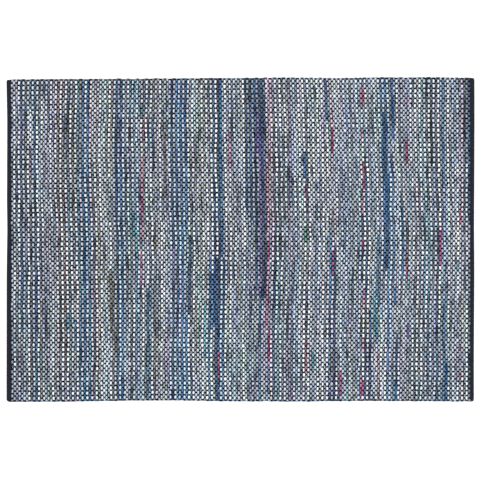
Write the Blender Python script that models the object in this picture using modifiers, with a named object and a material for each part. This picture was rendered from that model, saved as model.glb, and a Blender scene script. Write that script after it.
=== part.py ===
"""Flat-woven cotton rag rug, lying flat, with a folded cotton binding over each short end.

Metres, +Z up. +X runs along the rug, and +Y across it, along the rag picks. The origin is on the
surface that the rug lies on, under the middle of its outline.
"""

import bpy
import numpy as np

MM = 0.001

# The cloth. A pick is one rag laid right across the rug between two rows of warp.
LENGTH = 1300 * MM  # over both bindings
WIDTH = 899 * MM  # from selvedge to selvedge, between the mean lines of their loops
THICKNESS = 6.2 * MM  # from the surface to the crest of a pick
PICKS = 199  # those that show between the bindings
PICK_EASE = 0.035  # the picks lie this share wider apart at the left end, and closer at the right
RIB_DEPTH = 1.2 * MM  # from the crest of a pick down to the groove beside it
EDGE_ROUND = 2.6 * MM  # how far in from the selvedge its rounded shoulder ends
EDGE_FOOT = 1.3 * MM  # how far in the selvedge meets the surface
EDGE_MIDDLE = 0.45  # height of the selvedge's outermost line, as a share of the thickness
LOOP_OUT = 1.0 * MM  # a rag turns round the outer warp here, so every second pick stands out
LOOP_IN = 0.5 * MM  # and the pick after it stays in
GROOVE_IN = 1.0 * MM  # the groove between two picks

# The bindings. Each is one strip of tape folded over the pressed end of the cloth.
BINDING_LEFT = 12 * MM  # width of the strip that shows
BINDING_RIGHT = 11 * MM
BINDING_HEIGHT = 6.0 * MM
BINDING_IN = 1.2 * MM  # how far the binding stops short of the selvedge's grooves
TAPE = 1.1 * MM
GAP = 0.3 * MM  # between the cloth and the tape, all round
END_ROOM = 3.0 * MM  # inside the fold, past the end of the cloth
TONGUE_IN = 1.5 * MM  # how far the pressed end stops short of the same grooves
CORNER_IN = 2.4 * MM  # how far the fold's corners are drawn in
CORNER_REACH = 4.0 * MM  # and over what length
CORNER_MIDDLE = 0.35  # where along that length the corner's curve has a point
FOLD_STEPS = 8  # straight runs round the fold
MERGE = 0.01 * MM
SHARP = np.radians(40)  # edges that turn further than this are shaded sharp

# How far each long edge lies outside its straight line, in mm, at shares of the rug's length.
LONG_EDGES = (
    # share, back, front
    (0.00, -3.9, 2.4),
    (0.12, -2.4, 1.1),
    (0.21, -1.9, -0.3),
    (0.29, -1.3, -1.9),
    (0.38, -0.2, -2.1),
    (0.46, 0.3, 0.2),
    (0.54, 1.2, 0.4),
    (0.62, 2.0, 1.1),
    (0.71, 0.3, -0.3),
    (0.79, 2.2, -0.8),
    (0.88, 2.3, 0.0),
    (1.00, 1.2, 0.9),
)
# The same for the folds of the bindings, at shares of the width from front to back.
SHORT_EDGES = (
    # share, left, right
    (0.00, 0.9, -0.8),
    (0.12, 0.8, -1.0),
    (0.29, 0.6, -0.2),
    (0.38, 0.5, 0.3),
    (0.46, -0.3, 0.1),
    (0.54, -1.3, -0.4),
    (0.62, -0.3, -0.1),
    (0.71, -0.6, 0.4),
    (0.88, -1.0, 0.9),
    (1.00, 1.0, 0.6),
)
# The tables' columns.
SHARE = 0
BACK, FRONT = 1, 2
LEFT, RIGHT = 1, 2

RAG_BLUE_GREY = (0.19, 0.22, 0.26, 1)
RAG_ROUGHNESS = 0.9
BINDING_CHARCOAL = (0.022, 0.024, 0.032, 1)
BINDING_ROUGHNESS = 0.85

CLOTH_LEFT = -LENGTH / 2 + BINDING_LEFT + GAP
CLOTH_RIGHT = LENGTH / 2 - BINDING_RIGHT - GAP
TONGUE_LOW = TAPE + GAP
TONGUE_HIGH = BINDING_HEIGHT - TAPE - GAP
TONGUE_END = LENGTH / 2 - TAPE - END_ROOM


def clear_scene():
    """Removes what the file holds, so that the rug stands alone."""
    for found in list(bpy.data.objects):
        bpy.data.objects.remove(found, do_unlink=True)


def cotton(name, colour, roughness):
    """A plain cotton finish: rough, and not metallic."""
    made = bpy.data.materials.new(name)
    made.use_nodes = True
    shader = made.node_tree.nodes["Principled BSDF"]
    shader.inputs["Base Color"].default_value = colour
    shader.inputs["Roughness"].default_value = roughness
    shader.inputs["Metallic"].default_value = 0
    made.diffuse_color = colour
    return made


def add_object(name, points, faces, finish, collection):
    """A mesh object of these points and faces, in this finish."""
    mesh = bpy.data.meshes.new(name)
    mesh.from_pydata(points, [], faces)
    mesh.materials.append(finish)
    made = bpy.data.objects.new(name, mesh)
    collection.objects.link(made)
    return made


def uneven(table, column, shares):
    """Reads an edge's table at these shares, straight between its rows, in metres."""
    rows = np.array(table)
    return np.interp(shares, rows[:, SHARE], rows[:, column]) * MM


def rib_columns():
    """Where the ribs run: x, height, and how far out their loops stand, from groove to groove.

    Each pick has a groove line before it and a crest line, and the last one a groove after it.
    The share of the way along is t + ease * t * (1 - t), so the spacing falls evenly to the right.
    """
    steps = np.arange(2 * PICKS + 1)
    t = steps / (2 * PICKS)
    x = CLOTH_LEFT + (CLOTH_RIGHT - CLOTH_LEFT) * (t + PICK_EASE * t * (1 - t))
    crest = steps % 2 == 1
    outer_pick = steps % 4 == 1
    height = np.where(crest, THICKNESS, THICKNESS - RIB_DEPTH)
    loop = np.where(outer_pick, LOOP_OUT, np.where(crest, -LOOP_IN, -GROOVE_IN))
    return x, height, loop


def long_edge(column, x):
    """How far from the rug's middle line an edge lies at each x, without its loops."""
    return WIDTH / 2 + uneven(LONG_EDGES, column, x / LENGTH + 0.5)


def end_span(x, inset, centre):
    """Where what lies at an end starts and stops across the rug, this far inside the grooves."""
    front = -long_edge(FRONT, x) + GROOVE_IN + inset - centre
    back = long_edge(BACK, x) - GROOVE_IN - inset - centre
    return front, back


def section(x, front, back, low, high):
    """The cloth's cross-section at x: a flat slab whose two selvedges are rounded.

    Its six points run round it from the foot of the back selvedge, over the top, to the front.
    """
    middle = low + (high - low) * EDGE_MIDDLE
    return [
        (x, back - EDGE_FOOT, low),
        (x, back, middle),
        (x, back - EDGE_ROUND, high),
        (x, front + EDGE_ROUND, high),
        (x, front, middle),
        (x, front + EDGE_FOOT, low),
    ]


def add_cloth(finish, collection):
    """The woven cloth, lofted through its sections: a pressed tongue, the ribs, and a tongue.

    Returns how far the outline's middle lies from the middle line that its edges are stated from.
    """
    x, height, loop = rib_columns()
    front = -long_edge(FRONT, x) - loop
    back = long_edge(BACK, x) + loop
    centre = (back.max() + front.min()) / 2
    sections = [section(*row) for row in zip(x, front - centre, back - centre, x * 0, height)]
    tongues = [
        section(at, *end_span(at, TONGUE_IN, centre), TONGUE_LOW, TONGUE_HIGH)
        for at in (-TONGUE_END, CLOTH_LEFT, CLOTH_RIGHT, TONGUE_END)
    ]
    sections = tongues[:2] + sections + tongues[2:]
    sides = len(sections[0])
    points = [point for ring in sections for point in ring]
    faces = [tuple(reversed(range(sides)))]
    for i in range(len(sections) - 1):
        near, far = i * sides, (i + 1) * sides
        for k in range(sides):
            after = (k + 1) % sides
            faces.append((near + k, near + after, far + after, far + k))
    faces.append(tuple(range(len(points) - sides, len(points))))
    add_object("rug_cloth", points, faces, finish, collection)
    return centre


def fold_profile(width):
    """The tape's middle line in a binding of this width: in from the fold, and up.

    A flat lower flap, a round fold whose radius is half the height between the flaps, and a flat
    upper flap.
    """
    radius = (BINDING_HEIGHT - TAPE) / 2
    turn = np.linspace(0, np.pi, FOLD_STEPS + 1)
    inward = radius - radius * np.sin(turn) + TAPE / 2
    up = TAPE / 2 + radius - radius * np.cos(turn)
    return (
        np.concatenate(([width], inward, [width])),
        np.concatenate(([TAPE / 2], up, [BINDING_HEIGHT - TAPE / 2])),
    )


def add_binding(name, side, column, width, centre, finish, collection):
    """A strip of tape folded over one end, as an open surface along its middle, made solid.

    side is -1 at the left and 1 at the right. The flaps' inner edges are straight, and the fold
    follows the end's own line, drawn in at both corners.
    """
    at_end = side * LENGTH / 2
    front, back = end_span(at_end, BINDING_IN, centre)
    corner = CORNER_REACH / (back - front)
    near_corner = [corner * CORNER_MIDDLE, corner]
    shares = [row[SHARE] for row in SHORT_EDGES] + near_corner + [1 - at for at in near_corner]
    shares = np.sort(shares)
    to_corner = np.minimum(shares, 1 - shares) / corner
    drawn_in = CORNER_IN * np.clip(1 - to_corner, 0, 1) ** 2
    out = uneven(SHORT_EDGES, column, shares) - drawn_in
    inward, up = fold_profile(width)
    points = []
    for share, moved in zip(shares, out):
        y = front + (back - front) * share
        for reach, z in zip(inward, up):
            held = (width - reach) / (width - inward.min())
            points.append((at_end + side * (moved * held - reach), y, z))
    across = len(inward)
    faces = []
    for i in range(len(shares) - 1):
        for k in range(across - 1):
            first = i * across + k
            face = (first, first + 1, first + across + 1, first + across)
            faces.append(face if side > 0 else face[::-1])
    made = add_object(name, points, faces, finish, collection)
    thick = made.modifiers.new("tape", "SOLIDIFY")
    thick.solidify_mode = "NON_MANIFOLD"
    thick.nonmanifold_thickness_mode = "CONSTRAINTS"
    thick.nonmanifold_merge_threshold = MERGE
    thick.thickness = TAPE
    thick.offset = 0
    made.data.shade_smooth()
    made.data.set_sharp_from_angle(angle=SHARP)


clear_scene()
rug = bpy.data.collections.new("rag_rug")
bpy.context.scene.collection.children.link(rug)
rag_cotton = cotton("woven_rag_cotton", RAG_BLUE_GREY, RAG_ROUGHNESS)
binding_tape = cotton("charcoal_cotton_tape", BINDING_CHARCOAL, BINDING_ROUGHNESS)
middle_line = add_cloth(rag_cotton, rug)
add_binding("binding_left", -1, LEFT, BINDING_LEFT, middle_line, binding_tape, rug)
add_binding("binding_right", 1, RIGHT, BINDING_RIGHT, middle_line, binding_tape, rug)
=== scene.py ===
"""Finishes the flat-woven cotton rag rug: its warp, its rags, and a folded tape over each end.

Metres, +Z up. +X runs along the rug, as the warp does, and +Y across it, as the rags do. Every piece
stands at the origin, with its place in its mesh.
"""

import bpy
import numpy as np
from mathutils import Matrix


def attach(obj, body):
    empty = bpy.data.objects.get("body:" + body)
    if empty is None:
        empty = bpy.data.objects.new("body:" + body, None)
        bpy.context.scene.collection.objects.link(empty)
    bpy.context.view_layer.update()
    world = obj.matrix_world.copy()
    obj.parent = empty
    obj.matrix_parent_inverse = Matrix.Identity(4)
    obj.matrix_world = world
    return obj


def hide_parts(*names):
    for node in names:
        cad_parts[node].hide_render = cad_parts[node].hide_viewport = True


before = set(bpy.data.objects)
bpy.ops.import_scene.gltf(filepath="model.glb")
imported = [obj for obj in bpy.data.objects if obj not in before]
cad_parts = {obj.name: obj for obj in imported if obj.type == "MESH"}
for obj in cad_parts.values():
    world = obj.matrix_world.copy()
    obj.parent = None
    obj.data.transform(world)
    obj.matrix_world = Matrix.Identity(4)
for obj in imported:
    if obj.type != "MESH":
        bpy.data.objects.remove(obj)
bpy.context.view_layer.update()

# The floor, the light and the camera. The rug lies on a plain pale floor under even daylight, and is
# seen from straight above, with the same margin round it as in the photograph.
MM = 0.001
FLOOR_SIDE = 12.0
FLOOR_COLOUR = "#ffffff"
FLOOR_ROUGHNESS = 0.9
SKY_COLOUR = "#ffffff"
SKY_STRENGTH = 0.6
LAMP_STRENGTH = 2.52
LAMP_SPREAD = 0.9  # the lamp's width as an angle, in radians
LAMP_TILT = (-0.25, -0.2, 0.0)
PICTURE_SPAN = 1335 * MM  # what the picture's side shows at the height of the selvedges
PICTURE_MIDDLE = (-1.4 * MM, -1.5 * MM)
LENS = 85.0
SENSOR = 36.0
EYE_ABOVE = 3 * MM  # the height at which the span is measured


def linear(colour, alpha=1.0):
    """An sRGB hex colour as a linear one: each part divided by 12.92 if dark, else a power of 2.4."""
    parts = np.array([int(colour[i : i + 2], 16) for i in (1, 3, 5)]) / 255
    bent = np.where(parts <= 0.04045, parts / 12.92, ((parts + 0.055) / 1.055) ** 2.4)
    return (*(float(part) for part in bent), alpha)


def plain(name, colour, roughness):
    """Painted board, rolled on flat and matt, so that it is one even colour with no gloss."""
    made = bpy.data.materials.new(name)
    made.use_nodes = True
    shader = made.node_tree.nodes["Principled BSDF"]
    shader.inputs["Base Color"].default_value = linear(colour)
    shader.inputs["Roughness"].default_value = roughness
    shader.inputs["Specular IOR Level"].default_value = 0.0
    return made


bpy.context.scene.view_settings.view_transform = "Standard"
sky = bpy.data.worlds.new("even_daylight")
sky.use_nodes = True
sky.node_tree.nodes["Background"].inputs["Color"].default_value = linear(SKY_COLOUR)
sky.node_tree.nodes["Background"].inputs["Strength"].default_value = SKY_STRENGTH
bpy.context.scene.world = sky

lamp = bpy.data.objects.new("broad_lamp", bpy.data.lights.new("broad_lamp", "SUN"))
lamp.data.energy = LAMP_STRENGTH
lamp.data.angle = LAMP_SPREAD
lamp.rotation_euler = LAMP_TILT
bpy.context.scene.collection.objects.link(lamp)

floor_mesh = bpy.data.meshes.new("pale_floor")
half_floor = FLOOR_SIDE / 2
floor_mesh.from_pydata(
    [
        (-half_floor, -half_floor, 0),
        (half_floor, -half_floor, 0),
        (half_floor, half_floor, 0),
        (-half_floor, half_floor, 0),
    ],
    [],
    [(0, 1, 2, 3)],
)
floor_mesh.materials.append(plain("pale_floor", FLOOR_COLOUR, FLOOR_ROUGHNESS))
floor = bpy.data.objects.new("pale_floor", floor_mesh)
bpy.context.scene.collection.objects.link(floor)

camera = bpy.data.objects.new("camera", bpy.data.cameras.new("camera"))
camera.data.lens = LENS
camera.data.sensor_width = SENSOR
camera.location = (*PICTURE_MIDDLE, EYE_ABOVE + PICTURE_SPAN * LENS / SENSOR)
bpy.context.scene.collection.objects.link(camera)
bpy.context.scene.camera = camera

# The rags. Strips torn from old cotton cloth are twisted and laid across the rug, one in each pick,
# from two shuttles in turn: one of light rags, one of coloured ones. They are beaten up tight.
LENGTH = 1300 * MM  # over both bindings
WIDTH = 899 * MM  # from selvedge to selvedge, between the mean lines of their loops
THICKNESS = 6.2 * MM
MIDDLE = THICKNESS / 2  # the height that both yarns weave about
PICKS = 199
PICK_EASE = 0.035  # the picks lie this share wider apart at the left end, and closer at the right
BINDING_LEFT = 12 * MM  # width of the strip that shows
BINDING_RIGHT = 11 * MM
GAP = 0.3 * MM  # between the shown cloth and the tape
TAPE = 1.1 * MM  # its thickness
END_ROOM = 3.0 * MM  # inside the fold, past the end of the cloth
WARPS = 133
SHARE, BACK, FRONT = 0, 1, 2  # the columns of the table of long edges
OUTER_WARP_IN = {BACK: 4.2 * MM, FRONT: 2.7 * MM}  # how far in from each edge the outer warp runs
# How far each long edge lies outside its straight line, in mm, at shares of the rug's length.
LONG_EDGES = (
    # share, back, front
    (0.00, -3.9, 2.4),
    (0.12, -2.4, 1.1),
    (0.21, -1.9, -0.3),
    (0.29, -1.3, -1.9),
    (0.38, -0.2, -2.1),
    (0.46, 0.3, 0.2),
    (0.54, 1.2, 0.4),
    (0.62, 2.0, 1.1),
    (0.71, 0.3, -0.3),
    (0.79, 2.2, -0.8),
    (0.88, 2.3, 0.0),
    (1.00, 1.2, 0.9),
)
# How far the picks are bent to the right, in mm, at shares of the width from the back, and at even
# places along the rug. A beaten pick is never quite straight, and its neighbours bend with it.
PICK_BENDS = (
    # share, then from the left end to the right end
    (0.00, 0.0, -4.1, 2.0, -0.9, -3.1, -4.9, -6.6, -5.9, -11.2, -6.8, 0.0),
    (0.17, 0.0, -5.6, -1.0, -2.4, -3.8, -2.8, -1.4, 0.6, -4.8, -7.2, 0.0),
    (0.33, 0.0, -5.1, -0.2, -0.9, -1.5, -1.6, 0.4, 1.6, -0.1, -2.6, 0.0),
    (0.50, 0.0, -1.5, 4.3, 2.3, 2.1, 1.3, 3.3, 4.8, 3.8, 1.9, 0.0),
    (0.67, 0.0, 1.9, 4.8, 3.4, 1.4, -1.3, -0.4, 1.7, -0.7, -2.0, 0.0),
    (0.83, 0.0, 2.1, 6.3, 2.6, -0.8, -3.0, -3.6, 0.4, -1.4, -1.6, 0.0),
    (1.00, 0.0, 2.7, 5.4, 1.7, -0.6, -1.7, -3.5, -0.1, -3.7, -4.3, 0.0),
)
# The same for the warps, bent towards the back.
WARP_BENDS = (
    # share, then from the left end to the right end
    (0.00, 0.0, 0.0, 0.0, 0.0, 0.0, 0.0),
    (0.17, -3.5, 2.5, 0.0, -0.1, -1.4, -2.7),
    (0.33, -5.1, -2.6, -3.9, -3.8, -3.8, -4.4),
    (0.50, -5.1, -3.0, -3.8, -5.2, -4.4, -4.6),
    (0.67, -1.9, -1.1, -3.3, -5.1, -4.3, -4.3),
    (0.83, 0.4, -1.0, -4.1, -5.6, -3.0, -1.9),
    (1.00, 0.0, 0.0, 0.0, 0.0, 0.0, 0.0),
)
WANDER = 0.85  # the size of the finer bends, which have no set form, in mm
WANDER_STEP = 45 * MM  # how far apart they change
WANDER_SEED = 7
CLOTH_LEFT = -LENGTH / 2 + BINDING_LEFT + GAP
CLOTH_RIGHT = LENGTH / 2 - BINDING_RIGHT - GAP
CLOTH_END = LENGTH / 2 - TAPE - END_ROOM
RING_PLACES = (0.0, 0.37, 0.63)  # where a rag has rings, as shares of the way to the next warp
RAG_SIDES = 5
RAG_HALF_HEIGHT = 1.7 * MM
RAG_RISE = 1.45 * MM
RAG_FLATNESS = 0.52  # below 1, a rag's line is flatter over a warp and steeper between two
RAG_WAIST = 0.45  # how narrow it would be pressed if it lay at the middle height, as a share
RAG_TURN = 0.3  # how far a rag is twisted from one ring to the next, in radians
SWAY_STEP = 9.0  # a rag's slow bends, of which each reaches over this many warps
SWAY = 0.3 * MM
HEIGHT_CHANGE = 0.08 * MM  # how uneven a rag's line is upwards
SWELL_STEP = 1.5  # a rag's thicker and thinner places, again in warps
SWELL = 0.05
BATCHES = 3  # the rags of each kind are shared out over this many pieces
RAG_SEED = 100
HOOK_OVER = (
    # beyond the outer warp, height: from the tip, under the warp and round it
    (-1.0, 1.5),
    (0.5, 1.5),
    (1.4, 2.2),
    (1.5, 3.3),
    (0.9, 4.1),
)
HOOK_UNDER = (
    # the same for a rag that passes under the outer warp: the tip is turned up beside it
    (0.6, 3.4),
    (1.0, 2.6),
    (0.7, 2.0),
)
LOOP = (
    # beyond the outer warp, height, share of the way to the pick after the next
    (0.9, 4.2, 0.03),
    (1.6, 3.9, 0.12),
    (2.0, 3.6, 0.27),
    (2.1, 3.3, 0.45),
    (2.1, 3.0, 0.63),
    (1.8, 2.6, 0.80),
    (1.1, 2.2, 0.93),
    (-0.4, 1.7, 1.00),
)
REACH = {BACK: 1.1, FRONT: 0.3}  # how far the turns reach at each edge, as shares of the above
RAG_LENGTHS = (120 * MM, 900 * MM)  # the shortest and the longest, from one join to the next
RUNS = 10  # enough joins for any pick
FADE_STEP = 110 * MM  # how far apart a rag's fading and its print change
FADE_CHANGE = 0.22
PRINT_STEP = 32 * MM
PRINT_CHANGE = 0.2
BEAD_CHANGE = 0.13  # how much the shade differs from one float to the next
KINDS = (
    # name, first pick, half width in mm, middle shade, size of its changes, share of own runs
    ("light_rags", 1, 3.55, 0.82, 0.68, 0.88),
    ("coloured_rags", 0, 3.15, 0.74, 1.05, 0.3),
)
TINT_STEP = 110 * MM
TINT_CHANGE = 0.055  # how far a rag's red, green and blue drift apart on their own, as a share
BEAD_SIZE_CHANGE = 0.12  # how much the width differs from one float to the next, as a share
BEAD_SHIFT = 0.48 * MM  # and how far a float lies beside its pick's line
FOLD_CHANGE = 0.1  # how far one fold of a twisted rag is darker or paler than the next
START_SIZES = np.array((0.35, 0.55, 0.7, 0.8, 0.9))
END_SIZES = np.array((0.8, 0.72, 0.68, 0.66, 0.66, 0.64, 0.58, 0.4))
END_HEIGHT = 0.4  # the share of its height that a rag's end keeps, however narrow it gets
TURN_SHADE = 0.6  # the turns at the selvedges are packed tight and lie in shade
DARKEST, PALEST = 0.003, 0.95  # the shades are kept between these
# What each rag was cut from: the darker and the paler shade of its print or weave.
CLOTHS = {
    "bleached": ("#8692a3", "#f8fdff"),
    "chalk": ("#6d7a8b", "#eef6fd"),
    "shirting": ("#4b586a", "#eef6fd"),
    "ice": ("#647798", "#d8e7f7"),
    "cream": ("#7e8488", "#eff2f2"),
    "blush": ("#7c7486", "#ece2ec"),
    "mint": ("#637985", "#dcedf2"),
    "silver": ("#596877", "#ccd8e3"),
    "mist": ("#5a6475", "#c9d1dc"),
    "grey": ("#4f5762", "#c4cad2"),
    "stone": ("#56585d", "#c2c4c6"),
    "slate": ("#3e444f", "#aeb4be"),
    "steel": ("#434f5f", "#b4c0ce"),
    "charcoal": ("#262c35", "#88919d"),
    "denim": ("#1f4266", "#7099bc"),
    "navy": ("#15253f", "#5d7597"),
    "teal": ("#2a4a5b", "#85aaba"),
    "taupe": ("#464547", "#b2aead"),
    "brown": ("#303032", "#908c8b"),
    "lavender": ("#575871", "#c0bfd6"),
    "royal": ("#1f4277", "#658dbe"),
    "turquoise": ("#2c6779", "#7db9c9"),
    "green": ("#2b6a5b", "#7fbca6"),
    "olive": ("#4c5250", "#abb1aa"),
    "rust": ("#63505a", "#b19da4"),
    "purple": ("#433566", "#9a89ba"),
    "pink": ("#83526f", "#d9afc5"),
    "crimson": ("#6e2848", "#b16c8a"),
}
GROUND, PRINT = 0, 1
# A rag cloth's own threads are about 0.4 mm apart, too fine to show. Its flecks are drawn 2.4 mm
# wide, as coarse as they need to show.
RAG_FLECKS = 420.0  # to the metre
# A twisted rag has a crease about every 3 mm, also too fine. They are drawn 6.4 mm apart along it,
# as coarse as they need to show, and two round it.
CREASES_ALONG = 140.0  # over a rag's whole length
CREASES_ROUND = 66.0  # over the 33 or 34 rags of a piece
CREASE_SLANT = 0.6  # the twist's slant, in radians
CREASE_DEPTH = 0.6 * MM


def bag(**weights):
    """A bag of rags: the cloths in it, and the share of each."""
    shares = np.array(list(weights.values()), float)
    return list(weights), shares / shares.sum()


LIGHT_RAGS = bag(
    bleached=25,
    chalk=22,
    shirting=17,
    ice=10,
    silver=12,
    mint=3,
    cream=5,
    blush=4,
    grey=4,
)
COOL_LIGHT_RAGS = bag(ice=5, chalk=3, silver=2, mist=2, bleached=2)
COLOURED_RAGS = bag(
    slate=20,
    steel=12,
    charcoal=9,
    mist=11,
    grey=13,
    denim=6,
    navy=6,
    stone=7,
    taupe=7,
    teal=3,
    lavender=3,
    silver=5,
)
# Stretches of the rug whose rags come from one bag, in cm from the left end.
BANDS = (
    # from, to, coloured rags, light rags
    (1.2, 2.6, bag(steel=4, slate=3, mist=3), COOL_LIGHT_RAGS),
    (2.6, 9.0, bag(slate=4, charcoal=3, navy=2, steel=2), LIGHT_RAGS),
    (9.0, 14.0, bag(slate=3, steel=3, grey=2, teal=1), LIGHT_RAGS),
    (14.5, 19.5, bag(charcoal=4, navy=3, brown=2, slate=2), bag(bleached=4, shirting=1, lavender=1)),
    (21.2, 23.0, bag(denim=1), bag(denim=2, ice=1)),
    (24.0, 28.5, bag(grey=3, stone=3, silver=2, slate=2), bag(bleached=3, mint=2, cream=2)),
    (30.4, 33.0, bag(denim=3, steel=2, navy=1), COOL_LIGHT_RAGS),
    (36.0, 41.0, bag(slate=3, steel=3, charcoal=2, navy=1), LIGHT_RAGS),
    (45.5, 48.4, bag(denim=3, steel=4, navy=2), COOL_LIGHT_RAGS),
    (48.4, 50.6, bag(denim=3, steel=1), bag(steel=2, ice=2, mist=1)),
    (51.5, 56.0, bag(grey=4, stone=3, taupe=2, slate=2), bag(chalk=3, silver=2, cream=1)),
    (56.2, 60.6, bag(denim=3, navy=3, steel=2, slate=2), COOL_LIGHT_RAGS),
    (60.6, 66.0, bag(grey=4, stone=1, slate=2, silver=3), LIGHT_RAGS),
    (66.3, 69.2, bag(slate=3, steel=4, mist=2), bag(mist=3, ice=3, steel=1)),
    (69.2, 71.9, bag(navy=5, purple=1), bag(steel=3, navy=1, denim=2)),
    (74.6, 78.4, bag(charcoal=3, slate=4, teal=1), bag(shirting=3, silver=2, chalk=2)),
    (78.4, 81.0, bag(steel=3, mist=2, denim=1), bag(ice=3, lavender=1, chalk=1)),
    (84.5, 89.5, bag(grey=3, mist=3, silver=2, slate=1), LIGHT_RAGS),
    (93.0, 98.0, bag(mist=3, grey=2, steel=2, silver=2), COOL_LIGHT_RAGS),
    (105.0, 108.0, bag(denim=4, steel=3, navy=1), COOL_LIGHT_RAGS),
    (112.5, 119.0, bag(charcoal=3, slate=3, teal=1), bag(shirting=3, silver=2, bleached=2)),
    (120.5, 123.5, bag(steel=4, denim=2, mist=2), COOL_LIGHT_RAGS),
    (126.5, 129.0, bag(slate=3, grey=3, charcoal=2), LIGHT_RAGS),
)
PLAIN_BAND = (0, 0, COLOURED_RAGS, LIGHT_RAGS)  # what lies between those
# Single rags that stand out, in cm from the left end and from the back edge.
STREAKS = (
    # along, from, to, cloth
    (5.1, 0, 7, "taupe"),
    (6.5, 9, 19, "cream"),
    (11.2, 8, 30, "blush"),
    (16.3, 10, 22, "lavender"),
    (16.8, 65, 70, "turquoise"),
    (18.5, 0, 24, "brown"),
    (19.5, 67, 76, "royal"),
    (20.4, 0, 24, "taupe"),
    (23.9, 0, 90, "blush"),
    (27.4, 58, 90, "mint"),
    (28.8, 53, 71, "brown"),
    (29.1, 0, 17, "brown"),
    (30.2, 71, 76, "olive"),
    (31.0, 0, 24, "lavender"),
    (31.8, 24, 35, "royal"),
    (32.0, 47, 90, "denim"),
    (35.0, 37, 44, "turquoise"),
    (37.7, 7, 11, "teal"),
    (37.7, 11, 17, "crimson"),
    (37.7, 22, 33, "pink"),
    (37.7, 33, 37, "crimson"),
    (37.7, 37, 45, "pink"),
    (37.7, 49, 53, "crimson"),
    (37.7, 53, 58, "pink"),
    (39.2, 59, 90, "denim"),
    (39.4, 13, 20, "denim"),
    (41.0, 0, 10, "brown"),
    (41.0, 40, 50, "brown"),
    (41.0, 70, 85, "brown"),
    (44.1, 12, 33, "taupe"),
    (44.1, 40, 70, "bleached"),
    (45.2, 64, 90, "lavender"),
    (46.0, 0, 14, "navy"),
    (46.5, 47, 60, "purple"),
    (49.7, 0, 13, "royal"),
    (49.9, 44, 66, "steel"),
    (50.5, 44, 66, "navy"),
    (55.1, 62, 78, "turquoise"),
    (56.9, 54, 70, "denim"),
    (58.1, 50, 90, "navy"),
    (58.7, 76, 84, "crimson"),
    (58.9, 0, 18, "navy"),
    (59.8, 0, 50, "denim"),
    (60.2, 50, 76, "denim"),
    (62.1, 15, 26, "pink"),
    (64.4, 51, 62, "rust"),
    (66.5, 76, 90, "mint"),
    (66.9, 0, 38, "navy"),
    (67.5, 6, 28, "steel"),
    (68.2, 0, 40, "navy"),
    (68.0, 59, 70, "charcoal"),
    (69.1, 62, 90, "steel"),
    (69.7, 10, 21, "purple"),
    (69.7, 60, 90, "mist"),
    (70.3, 62, 90, "denim"),
    (70.5, 34, 60, "purple"),
    (71.0, 62, 90, "mist"),
    (72.7, 0, 20, "pink"),
    (72.7, 20, 24, "crimson"),
    (72.7, 24, 45, "pink"),
    (72.7, 45, 51, "crimson"),
    (72.7, 51, 69, "pink"),
    (72.7, 69, 79, "crimson"),
    (74.1, 0, 90, "blush"),
    (83.1, 21, 28, "royal"),
    (83.1, 30, 33, "pink"),
    (83.1, 41, 46, "green"),
    (83.1, 58, 63, "navy"),
    (83.1, 73, 82, "crimson"),
    (85.3, 76, 82, "turquoise"),
    (87.0, 13, 24, "blush"),
    (88.9, 0, 12, "navy"),
    (90.5, 14, 21, "crimson"),
    (90.5, 36, 44, "rust"),
    (90.5, 48, 55, "crimson"),
    (90.5, 76, 84, "rust"),
    (93.1, 81, 88, "crimson"),
    (94.5, 87, 90, "green"),
    (98.5, 2, 9, "pink"),
    (98.5, 23, 31, "blush"),
    (98.5, 57, 66, "blush"),
    (98.5, 82, 89, "pink"),
    (99.1, 3, 7, "crimson"),
    (99.1, 14, 17, "pink"),
    (99.1, 23, 31, "crimson"),
    (99.1, 33, 38, "pink"),
    (99.1, 45, 48, "crimson"),
    (99.1, 59, 64, "pink"),
    (99.1, 72, 76, "pink"),
    (99.1, 84, 88, "crimson"),
    (102.3, 60, 72, "turquoise"),
    (103.2, 44, 61, "denim"),
    (103.2, 64, 74, "teal"),
    (103.2, 76, 90, "rust"),
    (105.6, 10, 53, "navy"),
    (107.0, 0, 17, "royal"),
    (107.6, 84, 90, "denim"),
    (108.1, 58, 63, "royal"),
    (111.4, 5, 8, "pink"),
    (111.4, 17, 24, "crimson"),
    (111.4, 50, 56, "crimson"),
    (111.4, 68, 72, "purple"),
    (120.7, 42, 52, "crimson"),
    (121.5, 0, 30, "denim"),
    (121.5, 62, 90, "denim"),
    (125.0, 25, 50, "blush"),
    (125.5, 51, 54, "teal"),
    (126.2, 37, 41, "crimson"),
    (126.2, 74, 76, "crimson"),
    (126.2, 82, 84, "crimson"),
    (127.3, 0, 32, "charcoal"),
    (127.9, 0, 24, "slate"),
    (128.6, 0, 40, "navy"),
)
CM = 0.01
ROW_MARGIN = 0.04  # the map's rows stay this share of a row apart from their own edges


def read_table(table, column, shares):
    """Reads a table's column at these shares, straight between its rows, in metres."""
    rows = np.array(table)
    return np.interp(shares, rows[:, SHARE], rows[:, column]) * MM


def edge(column, x):
    """y of a long edge at x: half the width plus the table."""
    out = WIDTH / 2 + read_table(LONG_EDGES, column, x / LENGTH + 0.5)
    return out if column == BACK else -out


def pick_line(number):
    """x of a pick's crest. The share along is t + ease * t * (1 - t), with t from 0 to 1."""
    t = (number + 0.5) / PICKS
    return CLOTH_LEFT + (CLOTH_RIGHT - CLOTH_LEFT) * (t + PICK_EASE * t * (1 - t))


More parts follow.
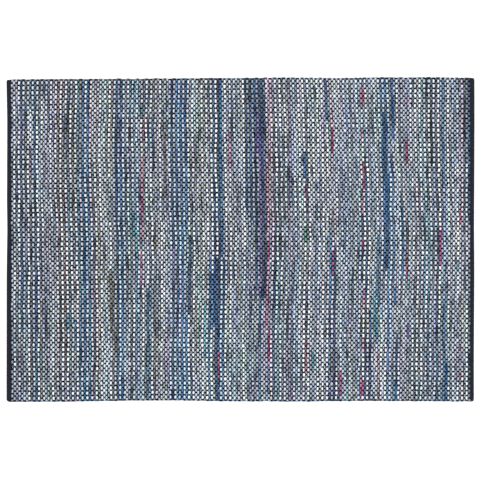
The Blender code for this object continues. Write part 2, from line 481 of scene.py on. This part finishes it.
def bend(table, x, from_back):
    """Reads a table of bends at x and at a share from the back, straight between its entries."""
    rows = np.array(table)
    bends = rows[:, 1:] * MM
    along = np.clip(x / LENGTH + 0.5, 0, 1) * (bends.shape[1] - 1)
    down = np.interp(from_back, rows[:, SHARE], np.arange(len(rows)))
    along, down = np.broadcast_arrays(along, down)
    i = np.minimum(along.astype(int), bends.shape[1] - 2)
    j = np.minimum(down.astype(int), len(rows) - 2)
    upper = bends[j, i] + (bends[j, i + 1] - bends[j, i]) * (along - i)
    lower = bends[j + 1, i] + (bends[j + 1, i + 1] - bends[j + 1, i]) * (along - i)
    return upper + (lower - upper) * (down - j)


def wander(rng):
    """A table of random bends with its places at even steps, none of them at the rug's own edges."""
    bends = rng.normal(0, WANDER, (round(WIDTH / WANDER_STEP) + 1, round(LENGTH / WANDER_STEP) + 1))
    bends[[0, -1]] = 0
    bends[:, [0, -1]] = 0
    return np.column_stack((np.linspace(0, 1, len(bends)), bends))


def pick_x(number, from_back):
    """x of a pick at a share of the width from the back: its crest's line, and its bends there."""
    line = pick_line(number)
    return line + bend(PICK_BENDS, line, from_back) + bend(PICK_WANDER, line, from_back)


def warp_line(number, x):
    """y of a warp at x: its share of the way between the two outermost warps, and its bends."""
    share = number / (WARPS - 1)
    front = edge(FRONT, x) + OUTER_WARP_IN[FRONT]
    back = edge(BACK, x) - OUTER_WARP_IN[BACK]
    bends = bend(WARP_BENDS, x, 1 - share) + bend(WARP_WANDER, x, 1 - share)
    return front + (back - front) * share + bends - OUTLINE_MIDDLE


def across(along):
    """The level direction at right angles to a path: its own direction turned by a quarter."""
    level = along * (1, 1, 0)
    level = level / np.linalg.norm(level, axis=-1, keepdims=True)
    return np.cross(level, (0, 0, 1))


def tubes(path, half_width, half_height, turn, sides, wide=None):
    """Rings round paths of shape (tubes, rings, 3), as an array of (tubes, rings, sides, 3).

    A ring is an ellipse at right angles to its path. Its points stand at even angles, from turn on:
    path + sideways * half_width * cos + upwards * half_height * sin.
    """
    along = np.gradient(path, axis=1)
    along /= np.linalg.norm(along, axis=-1, keepdims=True)
    if wide is None:
        wide = across(along)
    up = np.cross(wide, along)
    up /= np.linalg.norm(up, axis=-1, keepdims=True)
    sideways = np.cross(along, up)
    angle = turn[..., None] + np.arange(sides) * 2 * np.pi / sides
    out = (np.cos(angle) * half_width[..., None])[..., None] * sideways[:, :, None]
    rise = (np.sin(angle) * half_height[..., None])[..., None] * up[:, :, None]
    return path[:, :, None] + out + rise


def add_tubes(name, rings, finish, colours=None):
    """One mesh of many tubes, whose faces join each point of a ring to the next ring's.

    Its map unrolls the tubes side by side: across is the way along a tube, and up is the way round
    it, in a row of its own.
    """
    count, length, sides, _ = rings.shape
    index = np.arange(count * length * sides).reshape(count, length, sides)
    after = np.roll(index, -1, axis=2)
    quads = np.stack((index[:, :-1], index[:, 1:], after[:, 1:], after[:, :-1]), axis=-1)
    near = np.linspace(0, 1, length)
    u = np.stack((near[:-1], near[1:], near[1:], near[:-1]), axis=-1)[None, :, None]
    k = np.arange(sides) / sides
    v = np.stack((k, k, k + 1 / sides, k + 1 / sides), axis=-1)[None, None]
    v = (np.arange(count)[:, None, None, None] + ROW_MARGIN + (1 - 2 * ROW_MARGIN) * v) / count
    uv = np.stack(np.broadcast_arrays(u, v), axis=-1).reshape(-1, 2)
    caps = np.concatenate((index[:, 0], index[:, -1, ::-1]))
    ends = np.repeat((0.0, 1.0), count * sides)
    rows = np.tile(np.repeat((np.arange(count) + 0.5) / count, sides), 2)
    uv = np.concatenate((uv, np.stack((ends, rows), axis=-1)))
    corners = np.concatenate((quads.reshape(-1), caps.reshape(-1))).astype(np.int32)
    starts = np.arange(quads.size // 4) * 4
    starts = np.concatenate((starts, quads.size + np.arange(len(caps)) * sides)).astype(np.int32)
    mesh = bpy.data.meshes.new(name)
    mesh.vertices.add(index.size)
    mesh.vertices.foreach_set("co", rings.astype(np.float32).reshape(-1))
    mesh.loops.add(len(corners))
    mesh.loops.foreach_set("vertex_index", corners)
    mesh.polygons.add(len(starts))
    mesh.polygons.foreach_set("loop_start", starts)
    mesh.update(calc_edges=True)
    mesh.validate()
    unrolled = mesh.uv_layers.new(name="OFBake")
    unrolled.data.foreach_set("uv", uv.astype(np.float32).reshape(-1))
    if colours is not None:
        dye_and_painted_light = mesh.attributes.new("dye_and_painted_light", "FLOAT_COLOR", "POINT")
        opaque = np.concatenate((colours, np.ones((*colours.shape[:-1], 1))), axis=-1)
        dye_and_painted_light.data.foreach_set("color", opaque.astype(np.float32).reshape(-1))
    mesh.materials.append(finish)
    mesh.shade_smooth()
    made = bpy.data.objects.new(name, mesh)
    bpy.context.scene.collection.objects.link(made)
    return made


def add_node(material, kind, sockets=None, **settings):
    """Adds a shader node with its settings. Each socket takes a value, or a link from an output."""
    made = material.node_tree.nodes.new(kind)
    for name, value in settings.items():
        setattr(made, name, value)
    for name, value in (sockets or {}).items():
        if isinstance(value, bpy.types.NodeSocket):
            material.node_tree.links.new(value, made.inputs[name])
        else:
            made.inputs[name].default_value = value
    return made


x_at_edges = np.linspace(CLOTH_LEFT, CLOTH_RIGHT, PICKS)
OUTLINE_MIDDLE = (edge(BACK, x_at_edges).max() + edge(FRONT, x_at_edges).min()) / 2
grid_rng = np.random.default_rng(WANDER_SEED)
PICK_WANDER = wander(grid_rng)
WARP_WANDER = wander(grid_rng)


def smooth_steps(rng, count, places, step, size):
    """Random heights at even steps along count lines, joined smoothly and read at places.

    Between two steps the share of the way is s * s * (3 - 2 * s).
    """
    position = (places - places.min()) / step
    low = np.floor(position).astype(int)
    share = position - low
    share = share * share * (3 - 2 * share)
    heights = rng.normal(0, size, (count, low.max() + 2))
    return heights[:, low] * (1 - share) + heights[:, low + 1] * share


def lay_rags(number, half_width, kind_rng):
    """Paths and sizes of the rags in these picks, between the two outermost warps.

    Along its path a rag rises over one warp and dips under the next: middle + rise * wave, where
    the wave is a cosine raised to the flatness, with its sign kept. Its width is the half width
    times waist + (1 - waist) * the wave's size, so that each float is a round bead.
    """
    q = np.append((np.arange(WARPS - 1)[:, None] + RING_PLACES).reshape(-1), WARPS - 1.0)
    x = pick_x(number[:, None], 1 - q[None] / (WARPS - 1))
    beads = np.rint(q).astype(int)
    y = warp_line(q[None], x)
    wave = np.cos(np.pi * (q[None] + number[:, None]))
    wave = np.sign(wave) * np.abs(wave) ** RAG_FLATNESS
    x = x + smooth_steps(kind_rng, len(number), q, SWAY_STEP, SWAY)
    x += kind_rng.normal(0, BEAD_SHIFT, (len(number), WARPS))[:, beads]
    z = MIDDLE + RAG_RISE * wave + kind_rng.normal(0, HEIGHT_CHANGE, x.shape)
    wide = half_width * kind_rng.normal(1, BEAD_SIZE_CHANGE, (len(number), WARPS))[:, beads]
    wide *= RAG_WAIST + (1 - RAG_WAIST) * np.abs(wave)
    high = RAG_HALF_HEIGHT * (1 + smooth_steps(kind_rng, len(number), q, SWELL_STEP, SWELL))
    return np.stack((x, y, z), axis=-1), wide, high, beads


def add_end(points, out, at_warp, next_x, flip):
    """Puts the rows of an end's table beside the outer warp, as points after or before the rag."""
    rows = np.array(points)
    beyond = rows[:, 0] * MM
    along = rows[:, 2] if rows.shape[1] > 2 else np.zeros(len(rows))
    x = at_warp[:, None, 0] * (1 - along) + next_x[:, None] * along
    reach = np.where(out > 0, REACH[BACK], REACH[FRONT])
    y = at_warp[:, None, 1] + (out * reach)[:, None] * beyond
    z = np.broadcast_to(rows[:, 1] * MM, x.shape)
    made = np.stack((x, y, z), axis=-1)
    return made[:, ::-1] if flip else made


def choose_cloths(number, ring_y, light, own_share, rng):
    """Which cloth each ring of each rag is cut from, as places in the list of cloths.

    Rags are joined end to end, so a pick has several runs; each is the pick's own cloth or another
    out of the same bag. The single rags that stand out are then laid over them.
    """
    names = list(CLOTHS)
    back = ring_y.max()
    chosen = np.zeros(ring_y.shape, int)
    for row, at in enumerate((pick_line(number) + LENGTH / 2) / CM):
        band = next((each for each in BANDS if each[0] <= at < each[1]), PLAIN_BAND)
        cloths, shares = band[3] if light else band[2]
        joins = back + rng.uniform(0, RAG_LENGTHS[0]) - np.cumsum(rng.uniform(*RAG_LENGTHS, RUNS))
        main = rng.choice(cloths, p=shares)
        others = rng.choice(cloths, p=shares, size=RUNS + 1)
        own = rng.random(RUNS + 1) < own_share
        runs = np.array([names.index(main if same else other) for same, other in zip(own, others)])
        chosen[row] = runs[np.searchsorted(-joins, -ring_y[row])]
    for at, start, end, cloth in STREAKS:
        lines = pick_x(np.arange(PICKS), (start + end) / 2 * CM / WIDTH)
        nearest = np.argmin(np.abs(lines - (at * CM - LENGTH / 2)))
        for row in np.flatnonzero(number == nearest):
            from_back = (back - ring_y[row]) / CM
            chosen[row, (from_back >= start) & (from_back < end)] = names.index(cloth)
    return chosen


def dye_rags(number, ring_y, beads, kind, rng):
    """The colour of each ring: its cloth's ground and print, mixed by a share that drifts along.

    The share is a middle value, plus slow changes for the fading, quicker ones for the print, and
    one for each float. The mix is even to the eye: the square of the mixed square roots.
    """
    shades = np.array([[linear(shade)[:3] for shade in pair] for pair in CLOTHS.values()])
    _, first, _, middle, changes, own_share = kind
    cloth = np.sqrt(shades[choose_cloths(number, ring_y, first == 1, own_share, rng)])
    places = np.abs(ring_y[0] - ring_y[0, 0])
    share = smooth_steps(rng, len(number), places, FADE_STEP, FADE_CHANGE)
    share += smooth_steps(rng, len(number), places, PRINT_STEP, PRINT_CHANGE)
    share += rng.normal(0, BEAD_CHANGE, (len(number), WARPS))[:, beads]
    share = np.clip(middle + changes * share, 0, 1)[..., None]
    mixed = (cloth[:, :, GROUND] * (1 - share) + cloth[:, :, PRINT] * share) ** 2
    tint = smooth_steps(rng, 3 * len(number), places, TINT_STEP, TINT_CHANGE)
    return mixed * (1 + tint.reshape(3, len(number), -1).transpose(1, 2, 0))


def torn_cotton():
    """Cotton rag, torn into strips and twisted: soft, creased along its twist, and without gloss."""
    made = bpy.data.materials.new("torn_cotton_rag")
    made.use_nodes = True
    shader = made.node_tree.nodes["Principled BSDF"]
    shader.inputs["Roughness"].default_value = 0.92
    shader.inputs["Specular IOR Level"].default_value = 0.2
    shader.inputs["Sheen Weight"].default_value = 0.12
    shader.inputs["Sheen Roughness"].default_value = 0.5
    dye_and_painted_light = add_node(made, "ShaderNodeAttribute", attribute_name="dye_and_painted_light").outputs["Color"]
    place = add_node(made, "ShaderNodeTexCoord").outputs["Object"]
    fleck = add_node(made, "ShaderNodeTexNoise", {"Vector": place, "Scale": RAG_FLECKS, "Detail": 3.0})
    wear = add_node(made, "ShaderNodeMapRange", {"Value": fleck.outputs["Fac"], 3: 0.78, 4: 1.16})
    worn = add_node(
        made,
        "ShaderNodeVectorMath",
        {0: dye_and_painted_light, "Scale": wear.outputs["Result"]},
        operation="SCALE",
    )
    unrolled = add_node(made, "ShaderNodeUVMap", uv_map="OFBake").outputs["UV"]
    slanted = add_node(
        made,
        "ShaderNodeMapping",
        {
            "Vector": unrolled,
            "Scale": (CREASES_ALONG, CREASES_ROUND, 1.0),
            "Rotation": (0, 0, CREASE_SLANT),
        },
    ).outputs["Vector"]
    crease = add_node(made, "ShaderNodeTexNoise", {"Vector": slanted, "Scale": 1.0, "Detail": 2.0})
    folds = add_node(
        made,
        "ShaderNodeBump",
        {"Height": crease.outputs["Fac"], "Strength": 0.7, "Distance": CREASE_DEPTH},
    )
    made.node_tree.links.new(worn.outputs["Vector"], shader.inputs["Base Color"])
    made.node_tree.links.new(folds.outputs["Normal"], shader.inputs["Normal"])
    return made


rag_finish = torn_cotton()
floats = np.zeros((PICKS, WARPS, 3))  # the colour of each rag over or under each warp
for kind in KINDS:
    name, first, half_width = kind[:3]
    light = first == 1
    for batch in range(BATCHES):
        rng = np.random.default_rng(RAG_SEED + 10 * first + batch)
        number = np.arange(first + 2 * batch, PICKS, 2 * BATCHES)
        path, wide, high, beads = lay_rags(number, half_width * MM, rng)
        forward = (number // 2) % 2 == 0
        path[~forward] = path[~forward, ::-1]
        out = np.where(forward, 1.0, -1.0)
        hook = HOOK_UNDER if light else HOOK_OVER
        start = add_end(hook, -out, path[:, 0], path[:, 0, 0], False)
        if light:
            end = add_end(hook, out, path[:, -1], path[:, -1, 0], True)
        else:
            next_x = pick_x(number + 2, np.where(forward, 0.0, 1.0))
            end = add_end(LOOP, out, path[:, -1], next_x, False)
        before, after = start.shape[1], end.shape[1]
        path = np.concatenate((start, path, end), axis=1)
        size = np.concatenate((START_SIZES[-before:], np.ones(wide.shape[1]), END_SIZES[-after:]))
        wide = np.pad(wide, ((0, 0), (before, after)), mode="edge") * size
        high = np.pad(high, ((0, 0), (before, after)), mode="edge")
        high *= END_HEIGHT + (1 - END_HEIGHT) * size
        way = np.zeros_like(path)
        way[..., 0] = out[:, None]
        if not light:
            way[:, -after:] = across(np.gradient(path, axis=1)[:, -after:])
        turn = rng.uniform(0, 2 * np.pi, (len(number), 1)) + RAG_TURN * np.arange(path.shape[1])
        rings = tubes(path, wide, high, turn, RAG_SIDES, way)
        rings[..., 2] = np.maximum(rings[..., 2], 0)
        beads = np.pad(beads, (before, after), mode="edge")
        dyes = dye_rags(number, path[..., 1], beads, kind, rng)
        laid = dyes[:, before : dyes.shape[1] - after]
        laid = np.where(forward[:, None, None], laid, laid[:, ::-1])
        floats[number] = laid[:, :: len(RING_PLACES)]
        dyes[:, :before] *= TURN_SHADE
        dyes[:, -after:] *= TURN_SHADE
        folds = rng.normal(1, FOLD_CHANGE, (*dyes.shape[:2], RAG_SIDES, 1))
        shaded = np.clip(dyes[:, :, None] * folds, DARKEST, PALEST)
        piece = add_tubes(f"{name}_{batch + 1}", rings, rag_finish, shaded)
        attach(piece, "root")
        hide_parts("rug_cloth")

# The warp. 133 near-black cotton threads run the whole length of the rug, tight and close to
# straight between the rags that they pass over and under. Their cut ends lie inside the bindings.
WARP_HALF_WIDTH = 3.5 * MM
WARP_HALF_HEIGHT = 1.2 * MM
WARP_RISE = 1.5 * MM  # from the middle height up to the thread's line over a pick
WARP_SIDES = 3
WARP_SHIFT = 0.42 * MM  # how far a thread strays sideways at a pick
WARP_SIZE_CHANGE = 0.05
WARP_TURN_CHANGE = 0.15  # how far it is turned about itself there, in radians
WARP_SEED = 11
WARP_COLOUR = "#030711"
PAINTED_REFLECTION = (0.018, 0.030, 0.054)  # painted reflection: how much of the red, green and blue of the rags beside it is added to the yarn, for the light they throw into the gaps
PAINTED_REFLECTION_SPREAD = 1.4  # how unevenly the painted reflection lies, as the spread of the natural logarithm
PAINTED_REFLECTION_MOST = 5.0  # and at most this many times its mean
# The yarn's plies turn about once in 3 mm. The grain is drawn a little coarser to show, at 3.8 mm.
YARN_GRAINS = 260.0  # to the metre
END_PRESS = 0.43  # the weave's rise inside the bindings, as a share of the rise outside
END_PICKS = (2.2 * MM, 6.0 * MM)  # how far outside the shown cloth the two pressed picks lie


def cotton_yarn():
    """Dyed cotton warp yarn: hard-twisted and smooth, so it is dark and has almost no gloss."""
    made = bpy.data.materials.new("dyed_cotton_warp_yarn")
    made.use_nodes = True
    shader = made.node_tree.nodes["Principled BSDF"]
    shader.inputs["Roughness"].default_value = 0.9
    shader.inputs["Specular IOR Level"].default_value = 0.1
    dye_and_painted_light = add_node(made, "ShaderNodeAttribute", attribute_name="dye_and_painted_light").outputs["Color"]
    place = add_node(made, "ShaderNodeTexCoord").outputs["Object"]
    grain = add_node(made, "ShaderNodeTexNoise", {"Vector": place, "Scale": YARN_GRAINS, "Detail": 2.0})
    wear = add_node(made, "ShaderNodeMapRange", {"Value": grain.outputs["Fac"], 3: 0.4, 4: 1.6})
    worn = add_node(
        made,
        "ShaderNodeVectorMath",
        {0: dye_and_painted_light, "Scale": wear.outputs["Result"]},
        operation="SCALE",
    )
    made.node_tree.links.new(worn.outputs["Vector"], shader.inputs["Base Color"])
    return made


warp_rng = np.random.default_rng(WARP_SEED)
warp_number = np.arange(WARPS)[:, None]
pick_number = np.arange(-2, PICKS + 2)[None]
left_picks = CLOTH_LEFT - np.array(END_PICKS)[::-1]
right_picks = CLOTH_RIGHT + np.array(END_PICKS)
crossings = pick_x(np.arange(PICKS), 1 - warp_number / (WARPS - 1))
ends = [np.append(-CLOTH_END, left_picks), np.append(right_picks, CLOTH_END)]
ends = [np.broadcast_to(each, (WARPS, len(each))) for each in ends]
warp_x = np.concatenate((ends[0], crossings, ends[1]), axis=1)
over = np.where((pick_number + warp_number) % 2 == 1, 1.0, -1.0)
pressed = np.where((pick_number < 0) | (pick_number >= PICKS), END_PRESS, 1.0)
warp_z = np.pad(over * pressed * WARP_RISE, ((0, 0), (1, 1))) + MIDDLE
warp_y = warp_line(warp_number, warp_x) + warp_rng.normal(0, WARP_SHIFT, warp_x.shape)
warp_path = np.stack((warp_x, warp_y, warp_z), axis=-1)
uneven_warp = warp_rng.normal(1, WARP_SIZE_CHANGE, warp_y.shape)
turn = np.pi / 2 + warp_rng.normal(0, WARP_TURN_CHANGE, warp_y.shape)
warp_wide = WARP_HALF_WIDTH * uneven_warp
warp_high = WARP_HALF_HEIGHT * uneven_warp
warp_rings = tubes(warp_path, warp_wide, warp_high, turn, WARP_SIDES)
# Painted reflection: each warp takes on some of the colour of the rags on either side of it, for the
# light they reflect into the gaps, spread unevenly.
beside = np.pad(floats, ((3, 3), (0, 0), (0, 0)), mode="edge")
beside = ((beside[:-2] + beside[2:]) / 2).transpose(1, 0, 2)
beside = np.concatenate((beside[:, :1], beside, beside[:, -1:]), axis=1)
reflection_share = np.exp(warp_rng.normal(0, PAINTED_REFLECTION_SPREAD, (*beside.shape[:2], 1)))
reflection_share = np.minimum(reflection_share / reflection_share.mean(), PAINTED_REFLECTION_MOST)
warp_dyes_and_reflection = np.array(linear(WARP_COLOUR)[:3]) + PAINTED_REFLECTION * beside * reflection_share
warp_dyes_and_reflection = np.broadcast_to(warp_dyes_and_reflection[:, :, None], warp_rings.shape)
warp = add_tubes("cotton_warp", warp_rings, cotton_yarn(), warp_dyes_and_reflection)
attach(warp, "root")
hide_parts("rug_cloth")

# The pressed ends. The first and the last two rags lie inside the bindings, flattened by the seams,
# and are only a filling there.
PRESSED_HALF_WIDTH = 2.0 * MM
PRESSED_HALF_HEIGHT = 0.9 * MM
PRESSED_SIDES = 4
PRESSED_COLOUR = "#6d7c8f"
PRESSED_SIZE_CHANGE = 0.06
PRESSED_SHADE_CHANGE = 0.15
PRESSED_SEED = 31
end_rng = np.random.default_rng(PRESSED_SEED)
end_x = np.concatenate((left_picks, right_picks))[:, None]
end_number = np.array((-2, -1, PICKS, PICKS + 1))[:, None]
end_q = np.arange(1.0, WARPS - 1)[None]  # they stop short of the outermost warps
end_wave = np.cos(np.pi * (end_q + end_number))
end_y = warp_line(end_q, end_x)
end_z = MIDDLE + END_PRESS * RAG_RISE * end_wave
end_path = np.stack((np.broadcast_to(end_x, end_y.shape), end_y, end_z), axis=-1)
end_wide = PRESSED_HALF_WIDTH * end_rng.normal(1, PRESSED_SIZE_CHANGE, end_y.shape)
end_high = np.full(end_y.shape, PRESSED_HALF_HEIGHT)
end_rings = tubes(end_path, end_wide, end_high, np.zeros(end_y.shape), PRESSED_SIDES)
end_shade = end_rng.normal(1, PRESSED_SHADE_CHANGE, (*end_rings.shape[:2], 1, 1))
end_dyes = np.broadcast_to(linear(PRESSED_COLOUR)[:3], (*end_rings.shape[:3], 3)) * end_shade
end_dyes = np.clip(end_dyes, DARKEST, PALEST)
pressed_rags = add_tubes("pressed_end_rags", end_rings, rag_finish, end_dyes)
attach(pressed_rags, "root")
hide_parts("rug_cloth")

# The bindings. A dark cotton tape is folded over each cut end, and one row of stitches runs through
# both flaps and the warps between them. The fold is round, and the tape dips a little at each stitch.
BINDING_HEIGHT = 6.0 * MM
BINDING_IN = 1.2 * MM  # how far the binding stops short of the selvedge's grooves
GROOVE_IN = 1.0 * MM
CORNER_IN = 2.4 * MM  # how far the fold's corners are drawn in
CORNER_REACH = 4.0 * MM  # and over what length
FOLD_RADIUS = BINDING_HEIGHT / 2
FOLD_STEPS = 5  # points round the fold
STITCH_IN = 3.3 * MM  # from the tape's upper edge to the stitches
STITCH_DIP = 0.45 * MM  # how far a stitch pulls the tape down
STITCH_REACH = 0.9 * MM  # and how far from it the tape is level again
EDGE_SLOPE = 0.5 * MM  # the upper flap's edge is rounded off over this width
EDGE_DROP = 0.45 * MM  # and this height
EDGE_TUCK = 0.1 * MM  # and its lower corner lies this far back
EDGE_LIFT = 0.2 * MM  # the lower flap's edge starts this far above the floor
STATIONS_PER_STITCH = 2
TAPE_WAVE = 0.12 * MM  # how far the tape's edge strays from its line
TAPE_WAVE_STEP = 14 * MM
TAPE_FACE_CHANGE = 0.05 * MM  # how uneven the tape's face is
TAPE_SEED = 41
TAPE_COLOUR = "#1d1f2a"
# painted shade: the tape's colour in each dip that a stitch pulls, darker than the rest
STITCH_DIP_SHADE = "#0b0c10"
# A twill tape's ribs are about 0.8 mm apart and its threads 0.4 mm, too fine to show. The ribs are
# drawn 2.8 mm apart, which is 160 on the wave texture's own scale, and the flecks 2 mm wide.
TWILL_RIBS = 160.0
TWILL_DEPTH = 0.25 * MM
TAPE_FLECKS = 500.0  # to the metre
# How far the folds lie outside their straight lines, in mm, at shares of the width from the front.
SHORT_EDGES = (
    # share, left, right
    (0.00, 0.9, -0.8),
    (0.12, 0.8, -1.0),
    (0.29, 0.6, -0.2),
    (0.38, 0.5, 0.3),
    (0.46, -0.3, 0.1),
    (0.54, -1.3, -0.4),
    (0.62, -0.3, -0.1),
    (0.71, -0.6, 0.4),
    (0.88, -1.0, 0.9),
    (1.00, 1.0, 0.6),
)
LEFT, RIGHT = 1, 2


def binding_section(width):
    """A tape's section, closed: in from the fold, up, and 1 at its stitch row.

    It runs from the lower flap's edge out along the floor, up round the fold on a half circle, in
    along the upper flap, down round its edge, and back inside at the tape's thickness.
    """
    turn = np.linspace(-np.pi / 2, np.pi / 2, FOLD_STEPS)
    circle = np.stack((-np.cos(turn), np.sin(turn)), axis=1)
    outer = FOLD_RADIUS + FOLD_RADIUS * circle
    inner = FOLD_RADIUS + (FOLD_RADIUS - TAPE) * circle
    stitch = width - STITCH_IN
    upper = [
        (stitch - STITCH_REACH, BINDING_HEIGHT),
        (stitch, BINDING_HEIGHT),
        (stitch + STITCH_REACH, BINDING_HEIGHT),
        (width - EDGE_SLOPE, BINDING_HEIGHT),
        (width, BINDING_HEIGHT - EDGE_DROP),
        (width - EDGE_TUCK, BINDING_HEIGHT - TAPE),
    ]
    points = np.concatenate(([(width, EDGE_LIFT)], outer, upper, inner[::-1], [(width, TAPE)]))
    at_stitch = np.isclose(points[:, 0], stitch) & (points[:, 1] > BINDING_HEIGHT / 2)
    return points[:, 0], points[:, 1], at_stitch


def cotton_tape():
    """Cotton twill tape: a flat, narrow, dark cloth with a fine slanting rib and no gloss."""
    made = bpy.data.materials.new("dark_cotton_tape")
    made.use_nodes = True
    shader = made.node_tree.nodes["Principled BSDF"]
    shader.inputs["Roughness"].default_value = 0.9
    shader.inputs["Specular IOR Level"].default_value = 0.15
    shader.inputs["Sheen Weight"].default_value = 0.03
    dye_and_painted_light = add_node(made, "ShaderNodeAttribute", attribute_name="dye_and_painted_light").outputs["Color"]
    place = add_node(made, "ShaderNodeTexCoord").outputs["Object"]
    grain = add_node(made, "ShaderNodeTexNoise", {"Vector": place, "Scale": TAPE_FLECKS, "Detail": 3.0})
    wear = add_node(made, "ShaderNodeMapRange", {"Value": grain.outputs["Fac"], 3: 0.6, 4: 1.4})
    worn = add_node(
        made,
        "ShaderNodeVectorMath",
        {0: dye_and_painted_light, "Scale": wear.outputs["Result"]},
        operation="SCALE",
    )
    rib = add_node(
        made,
        "ShaderNodeTexWave",
        {"Vector": place, "Scale": TWILL_RIBS, "Distortion": 0.6},
        bands_direction="DIAGONAL",
    )
    ribbed = add_node(
        made,
        "ShaderNodeBump",
        {"Height": rib.outputs["Fac"], "Strength": 0.4, "Distance": TWILL_DEPTH},
    )
    made.node_tree.links.new(worn.outputs["Vector"], shader.inputs["Base Color"])
    made.node_tree.links.new(ribbed.outputs["Normal"], shader.inputs["Normal"])
    return made


tape_finish = cotton_tape()
ENDS = (
    # name, side, column of its table, width
    ("left", -1, LEFT, BINDING_LEFT),
    ("right", 1, RIGHT, BINDING_RIGHT),
)
for word, side, column, tape_width in ENDS:
    tape_rng = np.random.default_rng(TAPE_SEED + column)
    fold_x = np.array([side * LENGTH / 2])
    front = (edge(FRONT, fold_x) + GROOVE_IN + BINDING_IN - OUTLINE_MIDDLE)[0]
    back = (edge(BACK, fold_x) - GROOVE_IN - BINDING_IN - OUTLINE_MIDDLE)[0]
    stations = WARPS * STATIONS_PER_STITCH + 1
    station = np.arange(stations)
    station_y = np.linspace(front, back, stations)
    share = (station_y - front) / (back - front)
    to_corner = np.minimum(station_y - front, back - station_y) / CORNER_REACH
    drawn_in = CORNER_IN * np.clip(1 - to_corner, 0, 1) ** 2
    fold_out = read_table(SHORT_EDGES, column, share) - drawn_in
    inward, up, at_stitch = binding_section(tape_width)
    held = np.clip((tape_width - inward) / tape_width, 0, 1)
    strays = smooth_steps(tape_rng, 1, station_y, TAPE_WAVE_STEP, TAPE_WAVE)[0][:, None] * (1 - held)
    tape_x = side * (LENGTH / 2 + fold_out[:, None] * held - inward + strays)
    pulled = (station % STATIONS_PER_STITCH == 1)[:, None] & at_stitch
    uneven_face = tape_rng.normal(0, TAPE_FACE_CHANGE, (stations, len(up))) * (up > TAPE * 2)
    tape_z = up - STITCH_DIP * pulled + uneven_face
    tape_y = np.broadcast_to(station_y[:, None], tape_x.shape)
    rings = np.stack((tape_x, tape_y, np.clip(tape_z, 0, None)), axis=-1)[None]
    # Painted shade: the tape is coloured darker in each stitch's dip.
    shades = np.where(pulled[None, ..., None], linear(STITCH_DIP_SHADE)[:3], linear(TAPE_COLOUR)[:3])
    if side < 0:
        rings = rings[:, :, ::-1]
        shades = shades[:, :, ::-1]
    piece = add_tubes(f"{word}_binding_tape", rings, tape_finish, shades)
    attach(piece, "root")
    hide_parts(f"binding_{word}")
